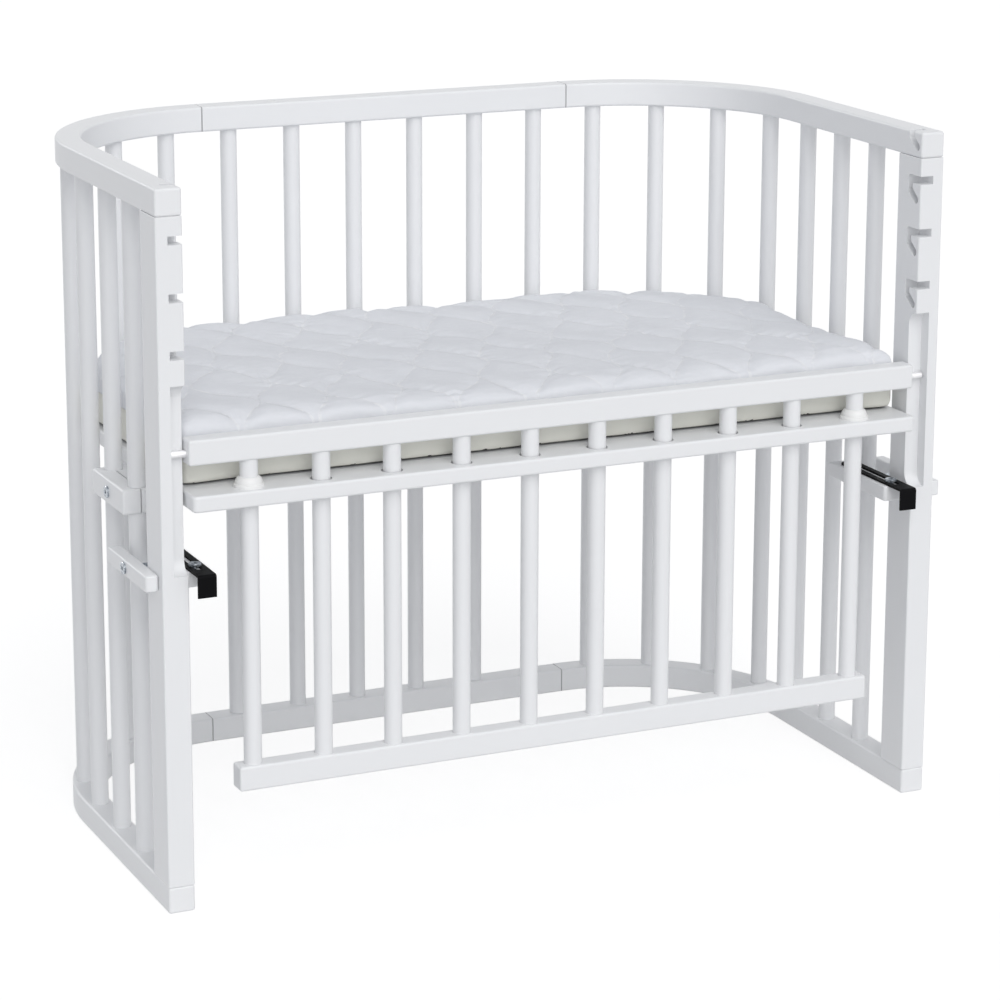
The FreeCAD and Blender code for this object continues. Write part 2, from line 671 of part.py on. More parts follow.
def inside_the_bars(half_wide, gap, front, bowed=None):
    """A plan that fits inside the bars: straight front and sides, and the back corners parallel to
    the rims' bend. bowed gives the radius of a front that draws in."""
    inner = f"({BEND_LINE} - Sheet.bar_radius - {gap})"
    bend_start = f"({BEND_Y} + sqrt({inner} ^ 2 - ({half_wide} - {BEND_X}) ^ 2))"
    corners = [
        (f"-{half_wide}", front),
        (half_wide, front),
        (half_wide, bend_start),
        (BEND_X, f"{BEND_Y} + {inner}"),
        (f"-{BEND_X}", f"{BEND_Y} + {inner}"),
        (f"-{half_wide}", bend_start),
    ]
    bends = {2: (BEND_X, BEND_Y, inner), 4: (f"-{BEND_X}", BEND_Y, inner)}
    if bowed is not None:
        bends[0] = ("0", f"{front} - sqrt({bowed} ^ 2 - {half_wide} ^ 2)", bowed)
    return corners, bends


def make_base_board():
    name = "base_board"
    body = new_body(name)
    half_wide = f"({POST_INNER} - Sheet.base_gap)"
    sketch = new_sketch(body, "XY_Plane", BASE_UNDER)
    corners, bends = inside_the_bars(half_wide, "Sheet.base_gap", f"({FRONT} - Sheet.base_out)")
    outline(sketch, corners, bends)
    pad(body, sketch, "Sheet.base_thick")
    front = amount(f"{FRONT} - Sheet.base_out")
    round_edges(body, "Sheet.base_corner", lambda edge: upright(edge) and abs(edge.CenterOfMass.y - front) < 1e-6)
    round_edges(body, "Sheet.base_round", lambda edge: not upright(edge))
    sketch = new_sketch(body, "XY_Plane", "Sheet.base_top")
    for index in range(GATE_BARS):
        circle(sketch, gate_bar_x(index), GATE_Y, "Sheet.bar_radius + Sheet.gate_hole_gap")
    pocket(body, sketch, "Sheet.base_thick")
    sketch = new_sketch(body, "XY_Plane", "Sheet.base_top")
    first_y = f"({FRONT} + Sheet.vent_front)"
    last_y = f"({LINE_BACK} - Sheet.bar_radius - Sheet.base_gap - Sheet.vent_back)"
    for row in range(VENTS_DEEP):
        y = f"({first_y} + {row / (VENTS_DEEP - 1)} * ({last_y} - {first_y}))"
        for column in range(VENTS_ACROSS):
            share = 2 * column / (VENTS_ACROSS - 1) - 1
            x = f"{share} * ({half_wide} - Sheet.vent_side - Sheet.vent_long / 2)"
            long_hole(sketch, (f"{x} - Sheet.vent_long / 2", y), (f"{x} + Sheet.vent_long / 2", y),
                      "Sheet.vent_wide / 2")
    pocket(body, sketch, "Sheet.base_thick")
    keep(body, name)


def make_mattress():
    name = "mattress"
    body = new_body(name)
    half_wide = f"({POST_INNER} - Sheet.mattress_gap)"
    bow = f"(({half_wide} ^ 2 + Sheet.mattress_draw ^ 2) / (2 * Sheet.mattress_draw))"
    sketch = new_sketch(body, "XY_Plane", "Sheet.base_top")
    corners, bends = inside_the_bars(half_wide, "Sheet.mattress_back_gap",
                                     f"({FRONT} + Sheet.mattress_front)", bow)
    outline(sketch, corners, bends)
    pad(body, sketch, "Sheet.mattress_high")
    low, high = amount("Sheet.base_top"), amount("Sheet.base_top + Sheet.mattress_high")
    round_edges(body, "Sheet.mattress_soft", upright)
    round_edges(body, "Sheet.mattress_soft", lambda edge: all(abs(v.Z - high) < 1e-6 for v in edge.Vertexes))
    round_edges(body, "Sheet.mattress_low_soft", lambda edge: all(abs(v.Z - low) < 1e-6 for v in edge.Vertexes))
    for way in (-1, 1):
        quilt(body, way)
    keep(body, name)


def quilt(body, way):
    """Shape the top into parallel rounded puffs, highest at the middle. Two families of sewn
    channels, one each way, cross in diamonds."""
    plane = new_sketch(body, "XZ_Plane")
    plane.AttachmentOffset = FreeCAD.Placement(
        FreeCAD.Vector(), FreeCAD.Rotation(FreeCAD.Vector(0, way, 0), amount("Sheet.quilt_turn")))
    plane.setExpression("AttachmentOffset.Rotation.Angle", "Sheet.quilt_turn")
    top = "(Sheet.base_top + Sheet.mattress_high)"
    corners = []
    for index in range(PUFFS + 1):
        share = 2 * index / PUFFS - 1
        channel = f"({top} - Sheet.quilt_deep - Sheet.mattress_crown * {share ** 2:.6f})"
        corners.append((f"{share * PUFFS / 2} * Sheet.quilt_pitch", channel))
    bends = {}
    for index in range(PUFFS):
        (x0, z0), (x1, z1) = corners[index], corners[index + 1]
        # The radius of a puff that rises by the channels' depth above the chord of its two edges
        rise = f"({z1} - {z0})"
        chord = f"sqrt(Sheet.quilt_pitch ^ 2 + {rise} ^ 2)"
        radius = f"(({chord} / 2) ^ 2 + Sheet.quilt_deep ^ 2) / (2 * Sheet.quilt_deep)"
        drop = f"({radius} - Sheet.quilt_deep)"
        bends[index] = (
            f"(({x0} + {x1}) / 2 + {drop} * {rise} / {chord})",
            f"(({z0} + {z1}) / 2 - {drop} * Sheet.quilt_pitch / {chord})",
            radius,
        )
    clear = f"({top} + Sheet.quilt_deep)"
    corners += [(corners[-1][0], clear), (corners[0][0], clear)]
    outline(plane, corners, bends)
    pocket(body, plane, "2 * (Sheet.width + Sheet.depth)", both_ways=True)


# ---------------------------------------------------------------------------------------------
# Clamps, carriers and brackets
# ---------------------------------------------------------------------------------------------

CLAMP_UNDER = f"({BASE_UNDER} - Sheet.clamp_high)"
SCREW_HOLE = "(Sheet.screw_radius + Sheet.screw_hole_gap)"
INSERT_HOLE = "(Sheet.insert_radius + Sheet.glue_gap)"


def make_screw(name, head_radius, head_high, long, x, y, z, axis):
    """A flat round-headed socket screw. Its head's underside stands at x, y, z, facing axis."""
    body = new_body(name)
    edge = "(Sheet.screw_head_high / 4)"
    sketch = new_sketch(body, "XY_Plane")
    corners = [
        (f"-{long}", "0"),
        (head_high, "0"),
        (head_high, f"{head_radius} - {edge}"),
        (f"{head_high} - {edge}", head_radius),
        ("0", head_radius),
        ("0", "Sheet.screw_radius"),
        (f"-{long}", "Sheet.screw_radius"),
    ]
    outline(sketch, corners)
    revolve(body, sketch, "X_Axis")
    sketch = new_sketch(body, "YZ_Plane", head_high)
    corner = "(Sheet.screw_socket / cos(30))"
    outline(sketch, [(f"{corner} * cos({60 * i})", f"{corner} * sin({60 * i})") for i in range(6)])
    pocket(body, sketch, f"0.7 * {head_high}")
    place(body, x, y, z)
    body.Placement.Rotation = FreeCAD.Rotation(FreeCAD.Vector(1, 0, 0), FreeCAD.Vector(*axis))
    return body


def make_insert(name, x, y, z, axis):
    """A threaded insert that runs from x, y, z along axis."""
    body = new_body(name)
    sketch = new_sketch(body, "YZ_Plane")
    circle(sketch, "0", "0", "Sheet.insert_radius")
    circle(sketch, "0", "0", "Sheet.screw_radius + Sheet.glue_gap")
    pad(body, sketch, "Sheet.insert_long")
    place(body, x, y, z)
    body.Placement.Rotation = FreeCAD.Rotation(FreeCAD.Vector(1, 0, 0), FreeCAD.Vector(*axis))
    return body


def make_clamp_block(name, outer):
    """One half of a clamp, as if the pair of bars stood on the Y axis, with the outside at +X."""
    body = new_body(name)
    near, far = "(Sheet.clamp_part / 2)", CLAMP_OUTER_FACE if outer else CLAMP_INNER_FACE
    sketch = new_sketch(body, "XY_Plane")
    half_long = "(Sheet.clamp_long / 2)"
    if outer:
        rectangle(sketch, near, f"-{half_long}", far, half_long)
    else:
        rectangle(sketch, f"-{far}", f"-{half_long}", f"-{near}", half_long)
    pad(body, sketch, "Sheet.clamp_high")
    parting = amount(near)
    round_edges(body, "Sheet.clamp_round", lambda edge: abs(abs(edge.CenterOfMass.x) - parting) > 1e-6)
    sketch = new_sketch(body, "XY_Plane", "Sheet.clamp_high")
    for way in (-1, 1):
        circle(sketch, "0", f"{way} * {BAR_PITCH} / 2", "Sheet.bar_radius + Sheet.clamp_ease")
    pocket(body, sketch, "Sheet.clamp_high")
    sketch = new_sketch(body, "YZ_Plane")
    circle(sketch, "0", "Sheet.clamp_high / 2", SCREW_HOLE)
    pocket(body, sketch, far, along_normal=outer)
    if not outer:
        sketch = new_sketch(body, "YZ_Plane", f"-{far}")
        circle(sketch, "0", "Sheet.clamp_high / 2", INSERT_HOLE)
        pocket(body, sketch, "Sheet.insert_long", along_normal=True)
    return body


def make_clamps():
    """Clamps on each side and at the back: where each stands, and the way its outside faces."""
    clamps = {
        "left": (f"-{LINE_SIDE}", CLAMP_Y, (-1, 0, 0)),
        "right": (LINE_SIDE, CLAMP_Y, (1, 0, 0)),
        "rear": ("0", LINE_BACK, (0, 1, 0)),
    }
    metal = []
    for hand, (x, y, outward) in clamps.items():
        turn = math.degrees(math.atan2(outward[1], outward[0]))
        outer = make_clamp_block(f"clamp_outer_{hand}", outer=True)
        inner = make_clamp_block(f"clamp_inner_{hand}", outer=False)
        for block in (outer, inner):
            place(block, x, y, CLAMP_UNDER, turn)
        if hand == "rear":
            group("clamp_blocks_rear", [outer, inner])
        else:
            keep(outer, outer.Name)
            keep(inner, inner.Name)
        middle = f"{CLAMP_UNDER} + Sheet.clamp_high / 2"
        away = lambda distance: (f"{x} + {outward[0]} * {distance}", f"{y} + {outward[1]} * {distance}")
        metal.append(make_screw(f"clamp_screw_{hand}", "Sheet.screw_head", "Sheet.screw_head_high",
                                "Sheet.clamp_screw_long", *away(CLAMP_OUTER_FACE), middle, outward))
        metal.append(make_insert(f"clamp_insert_{hand}", *away(f"(-{CLAMP_INNER_FACE})"), middle, outward))
    group("base_clamp_screws", metal)


CARRIER_TOP = "(Sheet.carrier_under + Sheet.carrier_high)"
CARRIER_REAR = f"({FRONT} + Sheet.carrier_front + Sheet.carrier_long)"
CARRIER_OUT = f"({SIDE} + Sheet.carrier_ease)"
CARRIER_IN = f"({POST_INNER} - Sheet.carrier_ease)"
CARRIER_MIDDLE = "(Sheet.carrier_under + Sheet.carrier_high / 2)"
BRACKET_SCREW_Y = f"({FRONT} + Sheet.bracket_screw_back)"


def make_carrier_half(name, side, low_x, high_x):
    """A bar with rounded rear end; side is -1 or +1, and it lies from low_x to high_x outward."""
    body = new_body(name)
    sketch = new_sketch(body, "YZ_Plane", f"{side} * {low_x}")
    front = f"({FRONT} + Sheet.carrier_front)"
    end = "Sheet.carrier_end"
    corners = [
        (front, "Sheet.carrier_under"),
        (f"{CARRIER_REAR} - {end}", "Sheet.carrier_under"),
        (CARRIER_REAR, f"Sheet.carrier_under + {end}"),
        (CARRIER_REAR, f"{CARRIER_TOP} - {end}"),
        (f"{CARRIER_REAR} - {end}", CARRIER_TOP),
        (front, CARRIER_TOP),
    ]
    outline(sketch, corners, {
        1: (f"{CARRIER_REAR} - {end}", f"Sheet.carrier_under + {end}", end),
        3: (f"{CARRIER_REAR} - {end}", f"{CARRIER_TOP} - {end}", end),
    })
    feature = pad(body, sketch, f"{high_x} - {low_x}")
    feature.Reversed = side < 0
    doc.recompute()
    start = amount(front)
    across = lambda edge: abs(edge.tangentAt(edge.FirstParameter).x) > 0.999
    along_a_side = lambda edge: not across(edge)
    at_nose = lambda edge: upright(edge) and abs(edge.CenterOfMass.y - start) < 1e-6
    round_edges(body, "Sheet.carrier_nose", at_nose)
    round_edges(body, "Sheet.carrier_round", along_a_side)
    sketch = new_sketch(body, "YZ_Plane", f"{side} * {low_x}")
    circle(sketch, CARRIER_SCREW_Y, CARRIER_MIDDLE, SCREW_HOLE)
    pocket(body, sketch, f"{high_x} - {low_x}", along_normal=side > 0)
    return body


def make_carriers():
    """Each carrier grips a post between two bars, and its inner bar holds the bed bracket."""
    inner_face = f"({CARRIER_IN} - Sheet.carrier_inner)"
    outer_face = f"({CARRIER_OUT} + Sheet.carrier_outer)"
    for hand, side in (("left", -1), ("right", 1)):
        name = f"carrier_outer_{hand}"
        keep(make_carrier_half(name, side, CARRIER_OUT, outer_face), name)
        name = f"carrier_inner_{hand}"
        inner = make_carrier_half(name, side, inner_face, CARRIER_IN)
        sketch = new_sketch(inner, "YZ_Plane", f"{side} * {inner_face}")
        circle(sketch, CARRIER_SCREW_Y, CARRIER_MIDDLE, INSERT_HOLE)
        pocket(inner, sketch, "Sheet.insert_long", along_normal=side > 0)
        sketch = new_sketch(inner, "XY_Plane", CARRIER_TOP)
        circle(sketch, f"{side} * {BRACKET_X}", BRACKET_SCREW_Y, "Sheet.screw_radius + Sheet.glue_gap")
        pocket(inner, sketch, "Sheet.bracket_screw_long - Sheet.bracket_thick")
        keep(inner, name)
        outward = (side, 0, 0)
        group(f"carrier_screws_{hand}", [
            make_screw(f"carrier_screw_{hand}", "Sheet.screw_head", "Sheet.screw_head_high",
                       "Sheet.carrier_screw_long", f"{side} * {outer_face}", CARRIER_SCREW_Y,
                       CARRIER_MIDDLE, outward),
            make_insert(f"carrier_insert_{hand}", f"{side} * {inner_face}", CARRIER_SCREW_Y,
                        CARRIER_MIDDLE, outward),
            make_screw(f"bracket_screw_{hand}", "Sheet.bracket_screw_head", "Sheet.bracket_screw_head_high",
                       "Sheet.bracket_screw_long", f"{side} * {BRACKET_X}", BRACKET_SCREW_Y,
                       f"{CARRIER_TOP} + Sheet.bracket_thick", (0, 0, 1)),
        ])


def make_brackets():
    """A steel strip on each carrier, slotted for its screw and bent down in front to hook the bed."""
    face = f"({FRONT} - Sheet.bracket_reach)"
    top = f"({CARRIER_TOP} + Sheet.bracket_thick)"
    bend = "Sheet.bracket_bend"
    thick = "Sheet.bracket_thick"
    centre = (f"{face} + {bend}", f"{top} - {bend}")
    rear = f"({face} + Sheet.bracket_long)"
    corners = [
        (face, f"{top} - Sheet.bracket_flange"),
        (face, f"{top} - {bend}"),
        (f"{face} + {bend}", top),
        (rear, top),
        (rear, CARRIER_TOP),
        (f"{face} + {bend}", CARRIER_TOP),
        (f"{face} + {thick}", f"{top} - {bend}"),
        (f"{face} + {thick}", f"{top} - Sheet.bracket_flange"),
    ]
    bends = {1: (*centre, bend), 5: (*centre, f"{bend} - {thick}")}
    for hand, side in (("left", -1), ("right", 1)):
        name = f"bracket_{hand}"
        body = new_body(name)
        inset = "-" if side < 0 else "+"
        sketch = new_sketch(body, "YZ_Plane", f"{side} * {BRACKET_X} {inset} Sheet.bracket_wide / 2")
        outline(sketch, corners, bends)
        feature = pad(body, sketch, "Sheet.bracket_wide")
        feature.Reversed = side > 0
        doc.recompute()
        back = amount(rear)
        round_edges(body, "Sheet.bracket_wide / 4",
                    lambda edge: upright(edge) and abs(edge.CenterOfMass.y - back) < 1e-6)
        sketch = new_sketch(body, "XY_Plane", top)
        x = f"{side} * {BRACKET_X}"
        first = f"{face} + Sheet.bracket_slot_first + Sheet.bracket_slot / 2"
        last = f"{face} + Sheet.bracket_slot_first + Sheet.bracket_slot_long - Sheet.bracket_slot / 2"
        long_hole(sketch, (x, first), (x, last), "Sheet.bracket_slot / 2")
        pocket(body, sketch, thick)
        keep(body, name)


# ---------------------------------------------------------------------------------------------
# The whole crib
# ---------------------------------------------------------------------------------------------

def check():
    doc.recompute()
    for thing in doc.Objects:
        if "Invalid" in thing.State or "Error" in thing.State:
            raise RuntimeError(f"{thing.Label} failed: {thing.State}")
    for thing in nodes:
        if thing.Shape.isNull() or not thing.Shape.isValid():
            raise RuntimeError(f"{thing.Label} has no sound shape")


def write_parts():
    os.makedirs("parts", exist_ok=True)
    for thing in nodes:
        thing.Shape.exportStep(f"parts/{thing.Label}.step")
    print(f"{len(nodes)} sub-parts written")


for level in ("bottom", "top"):
    make_back_rim(level)
    make_side_rim(level, "left", -1)
    make_side_rim(level, "right", 1)
make_posts()
make_bars()
make_dowels_and_plugs()
make_gate()
make_base_board()
make_mattress()
make_clamps()
make_carriers()
make_brackets()
check()
write_parts()
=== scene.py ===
# %% [markdown]
# # A bedside sleeper crib, dressed in Blender
#
# The crib is a white beech frame of round bars between two U-shaped rims. A base board is
# clamped in it at bed height and carries a quilted mattress. A barrier hangs in front, and
# two black steel brackets hook onto the parents' bed. Every rigid piece arrives finished in
# shape from CAD, in metres, and stays where it is. This lesson gives those pieces their
# lacquer, plastic and metal, and makes the one piece that CAD can only block out: the
# mattress, with its quilting, its creases and the seams round its cover.

# %% Load the frame
import math

import bpy
import numpy as np
from mathutils import Matrix, Vector


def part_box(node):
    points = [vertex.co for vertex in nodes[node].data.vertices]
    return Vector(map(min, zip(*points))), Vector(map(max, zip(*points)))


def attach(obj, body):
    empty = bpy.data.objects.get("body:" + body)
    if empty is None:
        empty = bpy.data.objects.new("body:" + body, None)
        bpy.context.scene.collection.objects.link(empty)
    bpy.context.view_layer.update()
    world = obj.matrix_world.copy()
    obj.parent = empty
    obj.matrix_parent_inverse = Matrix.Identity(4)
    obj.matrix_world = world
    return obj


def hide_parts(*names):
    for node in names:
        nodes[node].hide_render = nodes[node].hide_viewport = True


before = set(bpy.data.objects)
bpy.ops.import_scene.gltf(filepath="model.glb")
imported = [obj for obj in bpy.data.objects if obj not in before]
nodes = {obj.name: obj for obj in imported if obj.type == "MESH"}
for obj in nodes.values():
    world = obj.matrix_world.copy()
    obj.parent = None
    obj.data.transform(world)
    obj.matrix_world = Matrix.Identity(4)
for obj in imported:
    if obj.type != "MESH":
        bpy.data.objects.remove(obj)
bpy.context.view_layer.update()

# %% [markdown]
# ## Shader maths that reads like Python
#
# A material in Blender is a web of nodes, and a formula of five terms takes five of them.
# Wiring them by hand hides the formula. So one small class wraps an output socket and
# teaches it the signs of arithmetic: writing `1 - mask * 0.5` adds the nodes for it. A second
# class holds the web itself and adds any other node through a single method, for the
# background and the floor too. A third is a finish: one Principled shader, with what is the
# same all over set on its sockets, and only what changes linked to it.

# %% Sockets and node webs
class Wire:
    """The output of a node. Arithmetic on it adds Math nodes and gives a new Wire."""

    def __init__(self, web, socket):
        self.web, self.socket = web, socket

    def maths(self, operation, *values):
        return self.web.node("ShaderNodeMath", {"operation": operation}, dict(enumerate(values)))

    def __add__(self, other): return self.maths("ADD", self, other)
    def __sub__(self, other): return self.maths("SUBTRACT", self, other)
    def __rsub__(self, other): return self.maths("SUBTRACT", other, self)
    def __mul__(self, other): return self.maths("MULTIPLY", self, other)
    def __truediv__(self, other): return self.maths("DIVIDE", self, other)
    def __abs__(self): return self.maths("ABSOLUTE", self)
    def largest(self, other): return self.maths("MAXIMUM", self, other)
    def least(self, other): return self.maths("MINIMUM", self, other)
    def sine(self): return self.maths("SINE", self)
    def root(self): return self.maths("SQRT", self)
    def wrapped(self, half): return self.maths("WRAP", self, half, -half)
    __radd__, __rmul__ = __add__, __mul__


class Web:
    """A node tree. node() takes a node's type, its settings, and its sockets' values or links."""

    def __init__(self, tree):
        self.tree = tree

    def node(self, kind, settings, values, output=0):
        made = self.tree.nodes.new(kind)
        for name, value in settings.items():
            setattr(made, name, value)
        for name, value in values.items():
            self.feed(self.find(made.inputs, name), value)
        return Wire(self, self.find(made.outputs, output))

    def find(self, sockets, name):
        """The socket of that number or name. A Mix node has several of one name, one in use."""
        if isinstance(name, int):
            return sockets[name]
        return next(socket for socket in sockets if socket.name == name and socket.enabled)

    def feed(self, socket, value):
        if isinstance(value, Wire):
            self.tree.links.new(value.socket, socket)
        else:
            socket.default_value = value

    def mix(self, amount, first, second):
        """A colour between two, each three numbers or a Wire."""
        first, second = ((*c, 1) if isinstance(c, tuple) else c for c in (first, second))
        return self.node("ShaderNodeMix", {"data_type": "RGBA"}, {
            "Factor": amount, "A": first, "B": second}, "Result")

    def light_path(self, ray):
        return self.node("ShaderNodeLightPath", {}, {}, ray)


class Finish(Web):
    """One material. Constants go to its Principled shader by the sockets' names."""

    def __init__(self, name, constants):
        self.material = bpy.data.materials.new(name)
        self.material.use_nodes = True
        super().__init__(self.material.node_tree)
        self.shader = self.tree.nodes["Principled BSDF"]
        for socket, value in constants.items():
            self.shader.inputs[socket].default_value = value

    def place(self):
        """The three coordinates of a point on the crib, in metres."""
        point = self.node("ShaderNodeTexCoord", {}, {}, "Object")
        return [self.node("ShaderNodeSeparateXYZ", {}, {0: point}, axis) for axis in range(3)]

    def point(self, x, y, z):
        return self.node("ShaderNodeCombineXYZ", {}, {0: x, 1: y, 2: z})

    def noise(self, where, scale=1.0, detail=2.0, rough=0.5):
        """Noise between 0 and 1, which is finer the larger the scale."""
        return self.node("ShaderNodeTexNoise", {}, {
            "Vector": where, "Scale": scale, "Detail": detail, "Roughness": rough})

    def step(self, value, start, end):
        """0 below start, 1 above end, and smooth between."""
        return self.node("ShaderNodeMapRange", {"interpolation_type": "SMOOTHSTEP"}, {
            "Value": value, "From Min": start, "From Max": end})

    def feed_varying(self, **sockets):
        """Feed what changes over the surface to the shader."""
        for name, value in sockets.items():
            self.feed(self.shader.inputs[name.replace("_", " ")], value)

    def bump(self, height, metres):
        """Raise the surface by height times that many metres."""
        self.feed_varying(Normal=self.node("ShaderNodeBump", {}, {"Height": height, "Distance": metres}))

    def on(self, *names):
        """Give the finish to CAD nodes."""
        for name in names:
            slots = nodes[name].data.materials
            slots.clear()
            slots.append(self.material)


# %% [markdown]
# ## The camera
#
# The view was worked out from the crib itself: its upright edges, the level rails and the
# feet of the bars fix where the lens stood, how far it was turned and how long it is. It
# stood left of the middle, a little above the upper rim, and looked slightly down. We build
# the camera's own three axes from those angles, because a matrix states them without any
# doubt about the order of turns. The small shift moves the frame and leaves the perspective.

# %% Camera
turned, tipped, leant = (math.radians(angle) for angle in (24.61, 13.57, 0.17))
left_of_middle, before_posts, above_floor = 1.566, 3.238, 1.394
film_width, focal_length = 36, 120.92      # in millimetres

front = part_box("post_left")[0][1]
forward = Vector((math.sin(turned) * math.cos(tipped), math.cos(turned) * math.cos(tipped),
                  -math.sin(tipped)))
level = Vector((math.cos(turned), -math.sin(turned), 0))
upward = level.cross(forward)
right = math.cos(leant) * level + math.sin(leant) * upward
above = math.cos(leant) * upward - math.sin(leant) * level

camera = bpy.data.objects.new("camera", bpy.data.cameras.new("camera"))
stand = Matrix.Translation((-left_of_middle, front - before_posts, above_floor))
camera.matrix_world = stand @ Matrix((right, above, -forward)).transposed().to_4x4()
camera.data.sensor_width = film_width
camera.data.lens = focal_length
camera.data.shift_y = -0.1
bpy.context.scene.collection.objects.link(camera)
bpy.context.scene.camera = camera
bpy.context.scene.view_settings.view_transform = "Standard"
print("camera at", tuple(round(v, 3) for v in camera.location))

# %% [markdown]
# ## Floor, background and light
#
# A white object on white needs light that differs from side to side, or its edges vanish.
# The studio here is a grey surround for the faces that no lamp reaches, one broad lamp high in
# front, which leaves the bars under the board in its shade, a low one that reaches in under
# the rail, and a small one behind on the left that draws a bright line along the rounded
# edges. All are suns, so the level is the same all over the crib, and a wide angle keeps
# shadows soft. The background is white for the camera and for reflections only: what lights
# the crib is the grey.

# %% World and lamps
surround = bpy.data.worlds.new("surround")
surround.use_nodes = True
bpy.context.scene.world = surround
air = Web(surround.node_tree)
seen = air.light_path("Is Camera Ray").largest(
    air.light_path("Is Glossy Ray").largest(air.light_path("Is Transmission Ray")))
grey, white = (0.40, 0.41, 0.432), (1, 1, 1)
air.feed(air.tree.nodes["Background"].inputs["Color"], air.mix(seen, grey, white))


def sun(name, bearing, height, strength, width, colour=(1, 1, 1)):
    """A lamp that shines from a bearing, in degrees to the right of the crib's front, and a
    height above the floor. width is the angle it fills, which sets how soft its shadows are."""
    lamp = bpy.data.objects.new(name, bpy.data.lights.new(name, "SUN"))
    turn, rise = math.radians(bearing), math.radians(height)
    towards = Vector((math.sin(turn) * math.cos(rise), -math.cos(turn) * math.cos(rise),
                      math.sin(rise)))
    lamp.matrix_world = towards.to_track_quat("Z", "Y").to_matrix().to_4x4()
    lamp.data.energy = strength * math.pi
    lamp.data.angle = math.radians(width)
    lamp.data.color = colour
    bpy.context.scene.collection.objects.link(lamp)


sun("front_lamp", bearing=0, height=45, strength=0.38, width=45, colour=(1.0, 0.995, 0.985))
sun("low_lamp", bearing=-15, height=6, strength=0.25, width=50)
sun("rim_lamp", bearing=-159, height=20, strength=0.12, width=14)

# %% [markdown]
# The floor shows the camera plain white. Most of what it sees is emission and only about a
# quarter is lit, so the crib keeps a shadow and the shadow stays faint. Any other ray finds
# a plain pale floor, which throws light up under the rails as a real one would.

# %% Floor
edge = 30    # from the middle of the floor to its sides, in metres
corners = [(-edge, -edge, 0), (edge, -edge, 0), (edge, edge, 0), (-edge, edge, 0)]
floor_mesh = bpy.data.meshes.new("floor")
floor_mesh.from_pydata(corners, [], [(0, 1, 2, 3)])
floor = bpy.data.objects.new("floor", floor_mesh)
bpy.context.scene.collection.objects.link(floor)
paper = bpy.data.materials.new("studio_floor")
paper.use_nodes = True
card = Web(paper.node_tree)
card.tree.nodes.remove(card.tree.nodes["Principled BSDF"])
plain, shaded = (card.node("ShaderNodeBsdfDiffuse", {}, {"Color": (share, share, share, 1)})
                 for share in (0.8, 0.32))
glow = card.node("ShaderNodeEmission", {}, {"Color": (1, 1, 1, 1), "Strength": 0.79})
shown = card.node("ShaderNodeAddShader", {}, {0: shaded, 1: glow})
seen = card.light_path("Is Camera Ray").largest(card.light_path("Is Glossy Ray"))
card.feed(card.tree.nodes["Material Output"].inputs["Surface"],
          card.node("ShaderNodeMixShader", {}, {0: seen, 1: plain, 2: shown}))
floor.data.materials.append(paper)

# %% [markdown]
# ## White lacquer on beech
#
# The wood is beech under several sprayed coats. The coats fill the pores but not quite: near
# to, faint lines still run with the grain, about a millimetre apart and some centimetres
# long, and the film itself has the soft unevenness of orange peel. Both are relief of a few
# hundredths of a millimetre, so they belong in the bump and hardly in the colour.
#
# The grain runs along each piece, so there is one finish for each direction. The bent pieces
# of the rims are the interesting ones. Along the bend, grain follows the curve, and the
# distance from the bend's own axis stays constant on every fibre. That distance takes the
# place of the coordinate across, and the angle round the axis that of the one along.
#
# Each rim is glued together where its straight back piece meets the bent ones. The film has
# cracked over those joints to a hairline, a thin grey line in the planes x = bend_x and
# x = -bend_x.

# %% White lacquer
half_wide = 0.474    # from the crib's middle to the outside of its rims
bend = 0.234         # the outer radius of the rims' bends
bend_x = half_wide - bend
bend_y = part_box("top_rim_back")[1][1] - bend


def lacquer(along, jointed=False):
    """Sprayed white lacquer. along is x, y or z, the way of the grain, or bend for the rims'
    bent pieces. jointed adds the hairlines over a rim's glued joints."""
    finish = Finish(f"white_lacquer_{along}" + "_jointed" * jointed, {
        "Base Color": (0.85, 0.852, 0.86, 1), "Roughness": 0.36, "IOR": 1.5})
    x, y, z = finish.place()
    fine, long = 900.0, 22.0    # how many grains a metre, across and along
    if along == "bend":
        # In the bend the coordinate across is the distance from the bend's axis. On the
        # straights beside it one of the two offsets is 0, so it is the plain distance there
        side = (abs(x) - bend_x).largest(0.0)
        back = (y - bend_y).largest(0.0)
        across = (side * side + back * back).root()
        run = finish.node("ShaderNodeMath", {"operation": "ARCTAN2"}, {0: back, 1: side}) * bend
        run = run + abs(x).least(bend_x) + y.least(bend_y)
        grain = finish.point(across * fine, z * fine, run * long)
    else:
        scales = {name: long if name == along else fine for name in "xyz"}
        grain = finish.point(x * scales["x"], y * scales["y"], z * scales["z"])
    everywhere = finish.point(x, y, z)
    fibres = finish.noise(grain, detail=3.0, rough=0.55)
    peel = finish.noise(everywhere, scale=420.0, detail=1.0)
    drift = finish.noise(everywhere, scale=9.0, detail=1.0)
    relief = fibres * 0.55 + peel * 0.45
    colour = finish.mix(fibres * 0.5 + drift * 0.5, (0.832, 0.838, 0.850), (0.858, 0.864, 0.874))
    if jointed:
        crack = 1 - finish.step(abs(abs(x) - bend_x), 0.0003, 0.0009)
        relief = relief - crack * 8
        colour = finish.mix(crack * 0.6, colour, (0.26, 0.26, 0.27))
    finish.bump(relief, 0.00006)
    finish.feed_varying(Base_Color=colour, Roughness=0.30 + drift * 0.08 + peel * 0.06)
    return finish


